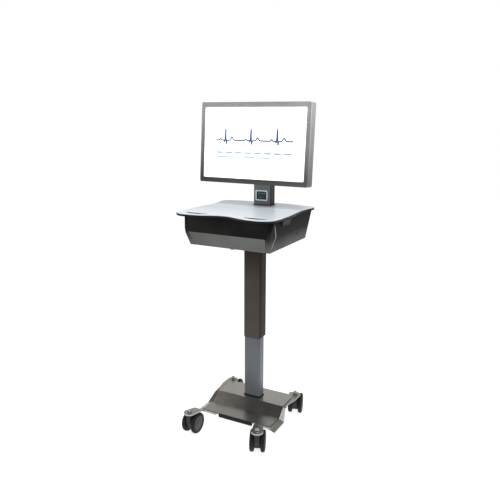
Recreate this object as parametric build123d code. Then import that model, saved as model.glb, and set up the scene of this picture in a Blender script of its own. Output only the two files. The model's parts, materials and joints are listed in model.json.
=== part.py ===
from build123d import *
import os
from math import atan, cos, degrees, radians, sin

# Mobile point-of-care cart: a wheeled stainless base, a height-adjustable column, a worktop with a
# shallow drawer under it, and an all-in-one display on a mast.
# Millimetres. X points to the user's right, Y to the back, Z up. Every piece is drawn about the
# column's own axis (x = 0, y = 0) and moved by COLUMN_Y when it is saved, which puts the origin on
# the floor under the middle of the whole cart.
COLUMN_Y = 77.6

# --- Driving dimensions ---------------------------------------------------------------------
# Casters
WHEEL_R = 50.0
WHEEL_W = 20.0
WHEEL_X = 25.0            # from the caster's middle plane to each wheel's middle
HUB_R = 37.0
DISH_R = (31.0, 12.0)     # the ring-shaped dish in the hub's face
TYRE_SHOULDER_R = 8.0
TRAIL = 28.0              # from the swivel axis to the axle
AXLE_R = 5.0
STEM_R = 8.0
CASTER_X = 181.0
CASTER_FRONT_Y = -311.0
CASTER_REAR_Y = 104.0
# Name: (x, y, direction in which the wheels trail, degrees from +X)
CASTERS = {
    "front_left": (-CASTER_X, CASTER_FRONT_Y, 90.0),
    "front_right": (CASTER_X, CASTER_FRONT_Y, 112.0),
    "rear_left": (-CASTER_X, CASTER_REAR_Y, 100.0),
    "rear_right": (CASTER_X, CASTER_REAR_Y, 107.0),
}

# Base
REAR_DECK_Z = 110.0       # top of the frame plate behind the fold
FRONT_DECK_Z = 70.0       # top of the frame plate in front of the fold
FOLD_TOP_Y = -48.0
FOLD_BOTTOM_Y = -98.0
DECK_REAR_Y = 88.0
DECK_FRONT_Y = -190.0
DECK_X = 186.0            # half width of the frame plate
FLANGE_Y = (-26.0, -200.0)             # rear and front ends of the leaning side flanges
PLATE_T = 4.0
COVER_T = 2.0
UPPER_BEND_R = 6.0        # bends of the frame plate's top face
LOWER_BEND_R = 8.0
ARM_BEND_R = 16.0         # inside radius of the front arms' bends
EAR_TOP_Z = 113.0
EAR_T = 7.0
EAR_R = 27.0

# Column
TUBE = (88.0, 46.0, 8.0, 3.0)          # width, depth, corner radius, wall
TUBE_TOP_Z = 640.0
SLEEVE = (95.0, 67.5, 14.0, 2.5)
SLEEVE_Y = 6.5            # the sleeve's middle lies behind the tube's
SLEEVE_BOTTOM_Z = 422.0
GLIDE_GAP = 0.3

# Head box and worktop
BOX_BOTTOM_Z = 913.0
BOX_TOP_Z = 1055.0
BOX_FOLD_Z = 978.0
BOX_BOTTOM_X = 200.5
BOX_TOP_X = 225.0
BOX_FRONT = (-252.0, -273.0, -244.0)   # y at the top, at the fold and at the bottom
BOX_REAR = (156.0, 140.5)              # y at the top and at the bottom
SHEET_T = 2.0
FLANGE = 18.0             # width of the side panels' front flanges
FOLD_R = 60.0             # rounding of the side panels' front edge at the fold
WORKTOP_Z = 1065.0
LAMINATE_T = 1.2
LAMINATE_SCALE = 0.994    # leaves a rim of the dark core about 1.5 mm wide

# Mast and display
MAST_X = 45.0
MAST_Y = (73.0, 122.5)
MAST_TOP_Z = 1385.0
SCREEN_W = 518.4
SCREEN_H = 324.0
DISPLAY_W = 556.6
DISPLAY_H = 369.6
DISPLAY_T = 59.0
DISPLAY_Y = -38.0         # front lower edge of the display
DISPLAY_Z = 1176.5
DISPLAY_TILT = 4.5
PIVOT_Y = 56.0
PIVOT_Z = 1352.0

# Release lever under the right side of the worktop
LEVER_X = 234.0
LEVER_Z = 1047.0
LEVER_Y = (-196.0, -120.0)


# --- Helpers ----------------------------------------------------------------------------------
def block(x, y, z):
    """A box between the (low, high) pairs."""
    middle = Pos((x[0] + x[1]) / 2, (y[0] + y[1]) / 2, (z[0] + z[1]) / 2)
    return middle * Box(x[1] - x[0], y[1] - y[0], z[1] - z[0])


def side_prism(points, half_width):
    """A prism with an outline of (y, z) points, centred on x = 0."""
    return extrude(Plane.YZ * Polygon(*points, align=None), half_width, both=True)


def rounded_outline(points, radii):
    """A face with an outline of (y, z) points, some of them rounded: {point number: radius}."""
    face = Polygon(*points, align=None)
    for number, radius in radii.items():
        y, z = points[number]
        corner = [v for v in face.vertices() if abs(v.X - y) < 0.01 and abs(v.Y - z) < 0.01]
        face = fillet(corner, radius)
    return face


def front_prism(points, half_depth):
    """A prism with an outline of (x, z) points, centred on y = 0."""
    return extrude(Plane.XZ * Polygon(*points, align=None), half_depth, both=True)


def rounded_bar(width, depth, radius, low_z, high_z):
    """An upright bar with rounded corners."""
    return extrude(Pos(0, 0, low_z) * RectangleRounded(width, depth, radius), high_z - low_z)


def round_bar(radius, low_z, high_z):
    """An upright round bar on the Z axis."""
    return extrude(Pos(0, 0, low_z) * Circle(radius), high_z - low_z)


def tube(section, low_z, high_z):
    """An upright hollow section: width, depth, corner radius, wall."""
    width, depth, radius, wall = section
    outside = rounded_bar(width, depth, radius, low_z, high_z)
    inside = rounded_bar(width - 2 * wall, depth - 2 * wall, radius - wall, low_z, high_z)
    return outside - inside


def both_sides(shape):
    """The shape and its mirror image across x = 0, as one shape."""
    return shape + mirror(shape, about=Plane.YZ)


def pair(shape):
    """The shape and its mirror image as two separate solids."""
    return Compound(children=[*shape.solids(), *mirror(shape, about=Plane.YZ).solids()])


def group(shapes):
    """Separate solids saved as one node."""
    return Compound(children=[solid for shape in shapes for solid in shape.solids()])


def socket_screw(radius, head_radius, head_height, length):
    """A socket-head screw, its head standing on z = 0 and its shank below."""
    screw = round_bar(head_radius, 0, head_height) + round_bar(radius, -length, 0)
    socket = extrude(Pos(0, 0, head_height * 0.4) * RegularPolygon(head_radius * 0.5, 6), head_height)
    return screw - socket


# --- Base -------------------------------------------------------------------------------------
def deck_band(low, high, rear_y, front_y):
    """The deck's folded side view as a band between two heights above the frame plate's top."""
    line = [
        (rear_y, REAR_DECK_Z),
        (FOLD_TOP_Y, REAR_DECK_Z),
        (FOLD_BOTTOM_Y, FRONT_DECK_Z),
        (front_y, FRONT_DECK_Z),
    ]
    top = [(y, z + high) for y, z in line]
    bottom = [(y, z + low) for y, z in reversed(line)]
    radii = {1: UPPER_BEND_R + high, 2: LOWER_BEND_R - high, 5: LOWER_BEND_R - low, 6: UPPER_BEND_R + low}
    return rounded_outline(top + bottom, {n: r for n, r in radii.items() if r > 0.5})


def deck_prism(low, high, rear_y, front_y, half_width):
    """A deck band as wide as twice half_width, centred on x = 0."""
    return extrude(Plane.YZ * deck_band(low, high, rear_y, front_y), half_width, both=True)


def rear_ear():
    """The ear and the rail that runs forward from it, beside the cover, to the fold."""
    ear = Pos(CASTER_X, CASTER_REAR_Y) * Circle(EAR_R)
    neck = Pos(178, 11) * Rectangle(56, 98)
    plan = make_hull(ear.edges() + neck.edges())
    plate = extrude(Pos(0, 0, REAR_DECK_Z - PLATE_T) * plan, PLATE_T)
    waste = Polygon((240, 40), (206, 40), (197, -8), (195, -60), (240, -60), align=None)
    boss = round_bar(EAR_R - 7, REAR_DECK_Z - PLATE_T, EAR_TOP_Z)
    return plate - extrude(waste, 200, both=True) + Pos(CASTER_X, CASTER_REAR_Y) * boss


def side_flange():
    """The frame plate's edge beside the fold and the front deck, widening forwards and leaning outwards."""
    rear, front = FLANGE_Y
    band = Plane.YZ.offset(DECK_X - 1) * deck_band(-PLATE_T, 0, rear, front)
    plan = Polygon(
        (180, rear), (196.5, rear), (197, FOLD_TOP_Y), (213, FOLD_BOTTOM_Y), (214, front), (180, front), align=None
    )
    return extrude(band, 32, dir=(26, 0, -10)) & extrude(plan, 200, both=True)


def front_arm_plan():
    ear = Pos(CASTER_X, CASTER_FRONT_Y) * Circle(EAR_R)
    neck = Pos(158, -254) * Rectangle(36, 26)
    root = Polygon(
        (105, -203), (138, -246), (176, -246), (189, -224), (193, -203), (193, -172), (105, -172), align=None
    )
    return root + make_hull(ear.edges() + neck.edges())


def front_arm():
    """An arm that rises from the low front deck to the ear over the caster."""
    low = FRONT_DECK_Z
    top = [(-172, low), (-197, low), (-258, EAR_TOP_Z), (-345, EAR_TOP_Z)]
    bottom = [(y - 2, z - EAR_T) for y, z in reversed(top)]
    outer = ARM_BEND_R + EAR_T
    side = rounded_outline(top + bottom, {1: ARM_BEND_R, 2: outer, 5: ARM_BEND_R, 6: outer})
    return extrude(Plane.YZ * side, 220, both=True) & extrude(front_arm_plan(), 200)


def base_frame():
    plate = deck_prism(-PLATE_T, 0, DECK_REAR_Y, DECK_FRONT_Y, DECK_X)
    rib = deck_prism(-20, -PLATE_T, 60, -170, 2)
    lip = block((-92, 92), (DECK_FRONT_Y - 3, DECK_FRONT_Y), (54, FRONT_DECK_Z))
    frame = plate + both_sides(side_flange() + rear_ear() + front_arm() + Pos(70, 0, 0) * rib) + lip
    stem_hole = round_bar(6.2, 90, 130)
    for x, y, _ in CASTERS.values():
        frame -= Pos(x, y) * stem_hole
    for x, y, z in cover_screw_places():
        frame -= Pos(x, y, z) * round_bar(2.1, -PLATE_T - 20, 5)
    return frame


def cover_screw_places():
    """Where screws hold the cover: on the top of the cover."""
    rear = REAR_DECK_Z + COVER_T
    front = FRONT_DECK_Z + COVER_T
    return [(x, y, z) for x in (-158, 158) for y, z in ((-20, rear), (-170, front))]


def base_cover():
    cover = deck_prism(0, COVER_T, DECK_REAR_Y - 3, DECK_FRONT_Y + 1, DECK_X - 3)
    keep = Pos(0, (DECK_REAR_Y + DECK_FRONT_Y) / 2) * RectangleRounded(
        2 * DECK_X - 6, DECK_REAR_Y - DECK_FRONT_Y - 4, 14
    )
    cover &= extrude(keep, 200)
    bosses = both_sides(Pos(CASTER_X, CASTER_REAR_Y) * round_bar(EAR_R - 5, 100, 120))
    width, depth, radius, _ = TUBE
    cover = cover - bosses - rounded_bar(width + 1, depth + 1, radius, 100, 120)
    countersink = Pos(0, 0, -COVER_T / 2) * Cone(2.1, 4.1, COVER_T)
    for x, y, z in cover_screw_places():
        cover -= Pos(x, y, z) * (countersink + round_bar(2.1, -5, 0))
    return cover


def cover_screws():
    """Countersunk screws, flush with the cover."""
    screw = Pos(0, 0, -COVER_T / 2) * Cone(2.0, 4.0, COVER_T) + round_bar(2.0, -8, -COVER_T)
    screw -= extrude(Pos(0, 0, -1.2) * RegularPolygon(1.5, 6), 2)
    return group([Pos(x, y, z) * screw for x, y, z in cover_screw_places()])


def caster_stems():
    stem = round_bar(STEM_R, 63, EAR_TOP_Z - EAR_T) + round_bar(6.1, EAR_TOP_Z - EAR_T, EAR_TOP_Z + 9)
    collar = round_bar(12, EAR_TOP_Z - EAR_T - 1, EAR_TOP_Z - EAR_T)
    return group([Pos(x, y) * (stem + collar) for x, y, _ in CASTERS.values()])


def caster_nuts():
    """Domed nuts and their washers on the ears."""
    washer = round_bar(12, EAR_TOP_Z, EAR_TOP_Z + 1.6)
    hexagon = extrude(Pos(0, 0, EAR_TOP_Z + 1.6) * RegularPolygon(10, 6), 6)
    dome = Pos(0, 0, EAR_TOP_Z + 7.6) * Sphere(8) & round_bar(9, EAR_TOP_Z + 5, EAR_TOP_Z + 30)
    nut = washer + hexagon + dome - round_bar(6.15, EAR_TOP_Z, EAR_TOP_Z + 9.2)
    return group([Pos(x, y) * nut for x, y, _ in CASTERS.values()])


# --- Casters ----------------------------------------------------------------------------------
# A caster is drawn with its swivel axis on Z and its wheels trailing along +X.
AXLE = Location((TRAIL, 0, WHEEL_R), (-90, 0, 0))     # its Z axis runs along the axle, towards +Y
FORK_HALF = 13.0


def caster_fork():
    cheek = make_hull(
        (Pos(TRAIL, WHEEL_R) * Circle(34)).edges() + (Pos(0, 82) * Rectangle(2 * FORK_HALF, 38)).edges()
    )
    body = extrude(Plane.XZ * cheek, FORK_HALF - 0.5, both=True)
    top = round_bar(22, 100.5, 105)
    bore = round_bar(STEM_R + 0.05, 62, 106)
    axle_hole = AXLE * Cylinder(AXLE_R + 0.02, 40)
    return rounded_cheeks(body, 3) + top - bore - axle_hole


def rounded_cheeks(body, radius):
    """Rounds the two outlines of the fork's cheeks."""
    rims = [e for e in body.edges() if abs(abs(e.center().Y) - (FORK_HALF - 0.5)) < 0.01]
    return fillet(rims, radius)


def caster_axle():
    return AXLE * Cylinder(AXLE_R, 2 * (WHEEL_X + WHEEL_W / 2) - 6)


def caster_hub():
    """A hub on z = 0 with its closed, dished face up."""
    half = WHEEL_W / 2
    hub = Cylinder(HUB_R, WHEEL_W - 2)
    dish = Pos(0, 0, half - 1) * (Cylinder(DISH_R[0], 5) - Cylinder(DISH_R[1], 5))
    bore = Pos(0, 0, -2.4) * Cylinder(AXLE_R + 0.06, WHEEL_W)
    return hub - dish - bore


def caster_tyre():
    ring = Cylinder(WHEEL_R, WHEEL_W) - Cylinder(HUB_R + 0.02, WHEEL_W)
    rims = ring.edges().filter_by(GeomType.CIRCLE).sort_by(SortBy.RADIUS)[-2:]
    return fillet(rims, TYRE_SHOULDER_R)


def wheel_location(side):
    """Puts a wheel on the axle: side +1 is towards +Y, -1 towards -Y, closed face outwards."""
    turn = -90 if side > 0 else 90
    return Location((TRAIL, side * WHEEL_X, WHEEL_R), (turn, 0, 0))


# --- Column -----------------------------------------------------------------------------------
def inner_tube():
    return tube(TUBE, REAR_DECK_Z, TUBE_TOP_Z)


def tube_hole(low_z, high_z, gap=0.05):
    """What the inner tube needs to pass through a piece around it."""
    width, depth, radius, _ = TUBE
    return rounded_bar(width + 2 * gap, depth + 2 * gap, radius + gap, low_z, high_z)


def foot_gasket():
    width, depth, radius, _ = TUBE
    low = REAR_DECK_Z + COVER_T
    outside = rounded_bar(width + 8, depth + 8, radius + 4, low, low + 6)
    return outside - tube_hole(low, low + 6)


def sleeve_inside(gap, low_z, high_z):
    width, depth, radius, wall = SLEEVE
    trim = 2 * (wall + gap)
    return Pos(0, SLEEVE_Y) * rounded_bar(width - trim, depth - trim, radius - wall - gap, low_z, high_z)


def glide_bush_upper():
    """A guide on the tube's top end, running inside the sleeve."""
    low = TUBE_TOP_Z - 50
    return sleeve_inside(GLIDE_GAP, low, TUBE_TOP_Z) - tube_hole(low, TUBE_TOP_Z)


def glide_bush_lower():
    """A guide in the sleeve's mouth, running on the tube."""
    low = SLEEVE_BOTTOM_Z + 14
    return sleeve_inside(0, low, low + 50) - tube_hole(low, low + 50, GLIDE_GAP)


def outer_sleeve():
    width, depth, radius, wall = SLEEVE
    sleeve = Pos(0, SLEEVE_Y) * tube(SLEEVE, SLEEVE_BOTTOM_Z, BOX_BOTTOM_Z)
    middle = (SLEEVE_BOTTOM_Z + 1000) / 2
    rounded = Plane.XZ * Pos(0, middle) * RectangleRounded(width, 1000 - SLEEVE_BOTTOM_Z, 12)
    return sleeve & extrude(rounded, 100, both=True)


SPRING_R = 14.0
SPRING_Z = (112.0, 520.0)
PISTON_Z = 395.0


def gas_spring_cylinder():
    low, high = SPRING_Z
    body = round_bar(SPRING_R, low, high) - round_bar(SPRING_R - 1.5, low + 6, high - 10)
    foot = round_bar(5, REAR_DECK_Z, low)
    return body + foot - round_bar(AXLE_R + 0.05, high - 11, high + 1)


def gas_spring_rod():
    rod = round_bar(AXLE_R, PISTON_Z, BOX_BOTTOM_Z + SHEET_T)
    piston = round_bar(SPRING_R - 1.6, PISTON_Z, PISTON_Z + 12)
    release_pin = round_bar(3, BOX_BOTTOM_Z, BOX_BOTTOM_Z + 12)
    return rod + piston + release_pin


def head_plate():
    low = BOX_BOTTOM_Z + SHEET_T
    plate = extrude(Pos(0, 0, low) * RectangleRounded(150, 130, 10), 6)
    return plate - round_bar(3.1, low - 1, low + 8)


# --- Head box ---------------------------------------------------------------------------------
BOX_SLOPE = (BOX_TOP_X - BOX_BOTTOM_X) / (BOX_TOP_Z - BOX_BOTTOM_Z)


def box_half_width(z):
    return BOX_BOTTOM_X + BOX_SLOPE * (z - BOX_BOTTOM_Z)


def box_width_prism(inset, low_z, high_z):
    """Everything between the two sloping sides, moved in by inset."""
    low = box_half_width(low_z) - inset
    high = box_half_width(high_z) - inset
    return front_prism([(-low, low_z), (low, low_z), (high, high_z), (-high, high_z)], 400)


def box_front_line(inset):
    """The folded front's side view, moved back by inset: (y, z) from the top down."""
    top, fold, bottom = BOX_FRONT
    return [(top + inset, BOX_TOP_Z), (fold + inset, BOX_FOLD_Z), (bottom + inset, BOX_BOTTOM_Z)]


def box_side_view(front_inset, rear_inset):
    rear_top, rear_bottom = BOX_REAR
    rear = [(rear_bottom - rear_inset, BOX_BOTTOM_Z), (rear_top - rear_inset, BOX_TOP_Z)]
    return side_prism(box_front_line(front_inset) + rear, 300)


def round_the_fold(prism):
    """Rounds the prism's front where the side panels bulge."""
    fold = [e for e in prism.edges().filter_by(Axis.X) if abs(e.center().Z - BOX_FOLD_Z) < 1]
    return fillet(fold, FOLD_R)


def box_shell():
    """Sides with front flanges, back and floor, folded from one sheet. The top and front are open."""
    outside = round_the_fold(box_side_view(0, 0)) & box_width_prism(0, BOX_BOTTOM_Z, BOX_TOP_Z)
    low = BOX_BOTTOM_Z + SHEET_T
    inside = round_the_fold(box_side_view(SHEET_T, SHEET_T)) & box_width_prism(SHEET_T, low, BOX_TOP_Z + 5)
    mouth = block((-300, 300), (-400, BOX_FRONT[2] + 23.5), (BOX_BOTTOM_Z - 5, BOX_TOP_Z + 5))
    mouth &= box_width_prism(FLANGE, BOX_BOTTOM_Z - 5, BOX_TOP_Z + 5)
    shell = outside - inside - mouth - round_bar(10, BOX_BOTTOM_Z - 1, BOX_BOTTOM_Z + 5)
    inlet = block((INLET_X - 14, INLET_X + 14), (100, 200), (INLET_Z - 10, INLET_Z + 10))
    return shell - inlet - both_sides(side_screw_place() * round_bar(2.2, -6, 6))


def side_screw_place():
    """On the right side's outer face, with Z pointing out of it."""
    lean = degrees(atan(BOX_SLOPE))
    return Location((box_half_width(RUNNER_Z), RUNNER_REAR_Y, RUNNER_Z), (0, 90 + lean, 0))


INLET_X = 120.0
INLET_Z = 945.0


def power_inlet():
    """A mains inlet let into the back: a flange outside, a cup inside and three pins."""
    wall_y = BOX_REAR[1] + (INLET_Z - BOX_BOTTOM_Z) * (BOX_REAR[0] - BOX_REAR[1]) / (BOX_TOP_Z - BOX_BOTTOM_Z)
    face = wall_y + 4
    cup = block((INLET_X - 13.5, INLET_X + 13.5), (face - 22, face), (INLET_Z - 9.5, INLET_Z + 9.5))
    flange = block((INLET_X - 20, INLET_X + 20), (face - 1, face + 1.5), (INLET_Z - 14, INLET_Z + 14))
    socket = block((INLET_X - 11.5, INLET_X + 11.5), (face - 18, face + 2), (INLET_Z - 7.5, INLET_Z + 7.5))
    inlet = cup + flange - socket
    for x, z in ((-7, -1.5), (0, 2), (7, -1.5)):
        inlet += block((INLET_X + x - 1, INLET_X + x + 1), (face - 19, face - 3), (INLET_Z + z - 2, INLET_Z + z + 2))
    return inlet


# Drawer
DRAWER_X = 160.0
DRAWER_Y = (-236.0, 55.0)
DRAWER_Z = (938.0, 1038.0)
RUNNER_Z = 955.0
RUNNER_REAR_Y = 25.0      # the rear stand-off, held by a screw through the side


def drawer_front():
    """The folded front panel, between the flanges, with a turned-in lower edge."""
    panel = side_prism(box_front_line(0) + box_front_line(2.5)[::-1], 300)
    low = BOX_BOTTOM_Z + 0.5
    panel += block((-300, 300), (BOX_FRONT[2], BOX_FRONT[2] + 22), (low, low + 2.5))
    for x in (-120, 120):
        standoff = block((x - 15, x + 15), (BOX_FRONT[1], DRAWER_Y[0]), (965, 985))
        panel += standoff & box_side_view(1, 0)
    panel &= box_width_prism(FLANGE + 1.2, low, BOX_TOP_Z - 2)
    return panel - block((CATCH_X - 8.4, CATCH_X + 8.4), (-238.4, -227.6), (900, 925))


def drawer_tray():
    outside = block((-DRAWER_X, DRAWER_X), DRAWER_Y, DRAWER_Z)
    inside = block((2 - DRAWER_X, DRAWER_X - 2), (DRAWER_Y[0] + 2, DRAWER_Y[1] - 2), (DRAWER_Z[0] + 2, 1100))
    return outside - inside


def runner_slides():
    bar = block((DRAWER_X, DRAWER_X + 15.5), (DRAWER_Y[0] + 5, DRAWER_Y[1]), (RUNNER_Z - 5, RUNNER_Z + 5))
    return pair(bar)


def runner_rails():
    """Grooved rails on stand-offs from the box's sides."""
    rail = block((DRAWER_X + 6, DRAWER_X + 22), (-225, 60), (RUNNER_Z - 13, RUNNER_Z + 13))
    groove = block((DRAWER_X, DRAWER_X + 16), (-300, 100), (RUNNER_Z - 5.5, RUNNER_Z + 5.5))
    for y in (-180, RUNNER_REAR_Y):
        rail += block((DRAWER_X + 20, 240), (y - 12, y + 12), (RUNNER_Z - 8, RUNNER_Z + 8))
    rail = (rail - groove) & box_width_prism(SHEET_T, 920, 1040)
    return pair(rail - side_screw_place() * round_bar(2.05, -15, 0))


CATCH_X = 12.0


def drawer_catch():
    """A push-up catch under the drawer front."""
    stem = block((CATCH_X - 8, CATCH_X + 8), (-238, -228), (909, 922))
    head = block((CATCH_X - 11, CATCH_X + 11), (-240, -226), (920, 924))
    return fillet(stem.edges().group_by(Axis.Z)[0], 1.5) + head


def power_pack():
    """The battery on the left and the mains supply on the right, as two closed cases."""
    battery = block((-178, -12), (72, 132), (918, 1000))
    supply = block((12, 178), (72, 112), (918, 990))
    return group([
        fillet(battery.edges().filter_by(Axis.Z), 5),
        chamfer(supply.edges().filter_by(Axis.Z), 3),
    ])


# --- Worktop ----------------------------------------------------------------------------------
def worktop_outline():
    """Waved outline: two bulges at the hand grips, a waist at the back half, full back corners."""
    right = Spline(
        (0, -287), (60, -302), (115, -321), (165, -328), (208, -322), (235, -301), (246, -262),
        (248, -200), (243, -100), (235, -10), (235, 35), (241, 78), (247, 108), (246, 132),
        (232, 151), (205, 160), (110, 176), (0, 180),
        tangents=[(1, 0), (-1, 0)],
    )
    return make_face(right + mirror(right, about=Plane.YZ))


GRIP_X = (80.0, 214.0)
GRIP_Y = (-266.0, -292.0)


def grip_slot():
    """A crescent hand hole: straight behind, bowed towards the front edge."""
    start, end = (GRIP_X[0], GRIP_Y[0]), (GRIP_X[1], GRIP_Y[0])
    middle = ((GRIP_X[0] + GRIP_X[1]) / 2, GRIP_Y[1])
    crescent = make_face(Line(start, end) + ThreePointArc(end, middle, start))
    return fillet(crescent.vertices(), 5)


def worktop_layer(outline, low_z, high_z):
    slots = both_sides(grip_slot())
    return extrude(Pos(0, 0, low_z) * (outline - slots), high_z - low_z)


def worktop_core():
    core = worktop_layer(worktop_outline(), BOX_TOP_Z, WORKTOP_Z - LAMINATE_T)
    core -= mast_bar(0.2, BOX_TOP_Z - 1, WORKTOP_Z)
    for x, y in mast_screw_places():
        core -= Pos(x, y, 0) * round_bar(2.05, BOX_TOP_Z, BOX_TOP_Z + 7)
    return core


def worktop_laminate():
    """The white top sheet, cut out around the mast."""
    top = worktop_layer(scale(worktop_outline(), LAMINATE_SCALE), WORKTOP_Z - LAMINATE_T, WORKTOP_Z)
    return top - mast_bar(0.4, WORKTOP_Z - 5, WORKTOP_Z + 5)


# --- Release lever ----------------------------------------------------------------------------
def lever_bracket():
    """Two hangers under the worktop and the pin between them."""
    low, high = LEVER_Y
    pin = Location((LEVER_X, (low + high) / 2, LEVER_Z), (90, 0, 0)) * Cylinder(2.5, high - low + 10)
    bracket = pin
    for y in (low - 5, high + 1):
        bracket += block((LEVER_X - 6, LEVER_X + 6), (y, y + 4), (LEVER_Z - 6, BOX_TOP_Z))
    foot = block((LEVER_X - 6, LEVER_X + 6), (high + 1, high + 55), (BOX_TOP_Z - 3, BOX_TOP_Z))
    return bracket + foot


def release_lever():
    low, high = LEVER_Y
    paddle = block((LEVER_X - 7, LEVER_X + 7), LEVER_Y, (LEVER_Z - 21, LEVER_Z + 5.5))
    paddle = fillet(paddle.edges().filter_by(Axis.Y), 5)
    finger = Location((LEVER_X + 14, (low + high) / 2, LEVER_Z - 12), (90, 0, 0)) * Cylinder(10, high - low)
    hole = Location((LEVER_X, (low + high) / 2, LEVER_Z), (90, 0, 0)) * Cylinder(2.55, 100)
    return paddle - finger - hole


# --- Mast and tilt head -----------------------------------------------------------------------
MAST_R = 4.0
MAST_WALL = 2.5
FOOT = (132.0, 74.0, 6.0, 4.0)         # the mast's foot plate: width, depth, corner radius, thickness


def mast_bar(growth, low_z, high_z):
    """The mast's section, grown on every side, between two heights."""
    width = 2 * (MAST_X + growth)
    depth = MAST_Y[1] - MAST_Y[0] + 2 * growth
    middle = Pos(0, sum(MAST_Y) / 2)
    return middle * rounded_bar(width, depth, max(MAST_R + growth, 1), low_z, high_z)


def mast_post():
    """The mast comes up through the worktop from a foot plate welded on under the core."""
    width, depth, radius, thickness = FOOT
    low = BOX_TOP_Z - thickness
    plate = extrude(Pos(0, sum(MAST_Y) / 2, low) * RectangleRounded(width, depth, radius), thickness)
    post = mast_bar(0, low, MAST_TOP_Z) + plate - mast_bar(-MAST_WALL, low - 1, MAST_TOP_Z - 3)
    for x, y in mast_screw_places():
        post -= Pos(x, y, BOX_TOP_Z) * round_bar(2.1, -5, 1)
    return post


def mast_screw_places():
    middle = sum(MAST_Y) / 2
    return [(x, middle + y) for x in (-57, 57) for y in (-24, 24)]


def head_screws():
    """Six alike: one through each side of the box into a rail, and four up into the worktop's core."""
    screw = socket_screw(2.0, 4.0, 2.4, 10.0)
    upward = Rot(180, 0, 0) * screw
    sides = pair(side_screw_place() * screw)
    return group([sides] + [Pos(x, y, BOX_TOP_Z - FOOT[3]) * upward for x, y in mast_screw_places()])


STATUS_X = -1.5
STATUS_Z = 1112.0


def status_bezel():
    outside = block((STATUS_X - 32, STATUS_X + 32), (MAST_Y[0] - 3, MAST_Y[0]), (STATUS_Z - 25, STATUS_Z + 25))
    window = block((STATUS_X - 26, STATUS_X + 26), (0, MAST_Y[0]), (STATUS_Z - 19, STATUS_Z + 19))
    return fillet(outside.edges().filter_by(Axis.Y), 4) - window


def status_display():
    return block((STATUS_X - 26, STATUS_X + 26), (MAST_Y[0] - 1.8, MAST_Y[0]), (STATUS_Z - 19, STATUS_Z + 19))


def pivot_cylinder(radius, length):
    return Location((0, PIVOT_Y, PIVOT_Z), (0, 90, 0)) * Cylinder(radius, length)


def tilt_bracket():
    """A plate on the mast with two ears for the tilt pin."""
    plate = block((-35, 35), (MAST_Y[0] - 5, MAST_Y[0]), (PIVOT_Z - 32, PIVOT_Z + 28))
    ears = both_sides(block((20, 27), (PIVOT_Y, MAST_Y[0] - 4), (PIVOT_Z - 11, PIVOT_Z + 11)))
    ears += both_sides(Pos(23.5, 0, 0) * pivot_cylinder(11, 7))
    return plate + ears - pivot_cylinder(5.02, 80)


def tilt_pin():
    head = Pos(29, 0, 0) * pivot_cylinder(8, 4)
    return pivot_cylinder(5.0, 58) + head


DISPLAY = Location((0, DISPLAY_Y, DISPLAY_Z), (-DISPLAY_TILT, 0, 0))
# In the display's own frame x is its width, y its depth from the front face and z its height.
BEZEL_DEPTH = 12.0
BEZEL_FACE = 3.0


def display_slab(width, height, radius, low_y, high_y):
    """A slab with rounded corners, centred on the display, between two depths."""
    face = Plane.XZ.offset(-low_y) * Pos(0, DISPLAY_H / 2) * RectangleRounded(width, height, radius)
    return extrude(face, low_y - high_y)


def display_bezel():
    body = display_slab(DISPLAY_W, DISPLAY_H, 8, 0, BEZEL_DEPTH)
    window = display_slab(SCREEN_W, SCREEN_H, 6, -1, BEZEL_DEPTH)
    room = display_slab(SCREEN_W + 20, SCREEN_H + 20, 6, BEZEL_FACE, BEZEL_DEPTH)
    return DISPLAY * (body - window - room)


def screen_glass():
    return DISPLAY * display_slab(SCREEN_W + 16, SCREEN_H + 16, 5, BEZEL_FACE, BEZEL_FACE + 2)


def display_panel():
    return DISPLAY * display_slab(SCREEN_W + 16, SCREEN_H + 16, 5, BEZEL_FACE + 2, BEZEL_DEPTH + 2)


def display_shell():
    """The deep rear casing, open towards the bezel, with a row of air slots."""
    outside = display_slab(DISPLAY_W, DISPLAY_H, 8, BEZEL_DEPTH, DISPLAY_T)
    back = outside.faces().sort_by(Axis.Y)[-1]
    outside = fillet(back.edges(), 7)
    inside = display_slab(DISPLAY_W - 5, DISPLAY_H - 5, 6, BEZEL_DEPTH, DISPLAY_T - 3)
    shell = outside - inside
    for i in range(-8, 9):
        x = i * 12
        shell -= block((x - 2.5, x + 2.5), (DISPLAY_T - 10, DISPLAY_T + 5), (300, 335))
    return DISPLAY * shell


def tilt_yoke():
    """A plate on the display's back with a lug that turns on the tilt pin."""
    plate = display_slab(110, 110, 6, DISPLAY_T, DISPLAY_T + 5)
    centre_y = DISPLAY_Y + DISPLAY_H / 2 * sin(radians(DISPLAY_TILT)) + DISPLAY_T * cos(radians(DISPLAY_TILT))
    lug = block((-19, 19), (centre_y + 3, PIVOT_Y), (PIVOT_Z - 9, PIVOT_Z + 9)) + pivot_cylinder(9, 38)
    return DISPLAY * plate + lug - pivot_cylinder(5.05, 80)


# --- Output -----------------------------------------------------------------------------------
def save(name, shape):
    solids = [Pos(0, COLUMN_Y, 0) * solid for solid in shape.solids()]
    export_step(solids[0] if len(solids) == 1 else Compound(children=solids), f"parts/{name}.step")


def save_casters():
    for name, (x, y, direction) in CASTERS.items():
        place = Location((x, y, 0), (0, 0, direction))
        save(f"fork_{name}", place * caster_fork())
        save(f"axle_{name}", place * caster_axle())
        for label, side in (("a", 1), ("b", -1)):
            wheel = place * wheel_location(side)
            save(f"hub_{name}_{label}", wheel * caster_hub())
            save(f"tyre_{name}_{label}", wheel * caster_tyre())


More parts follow.
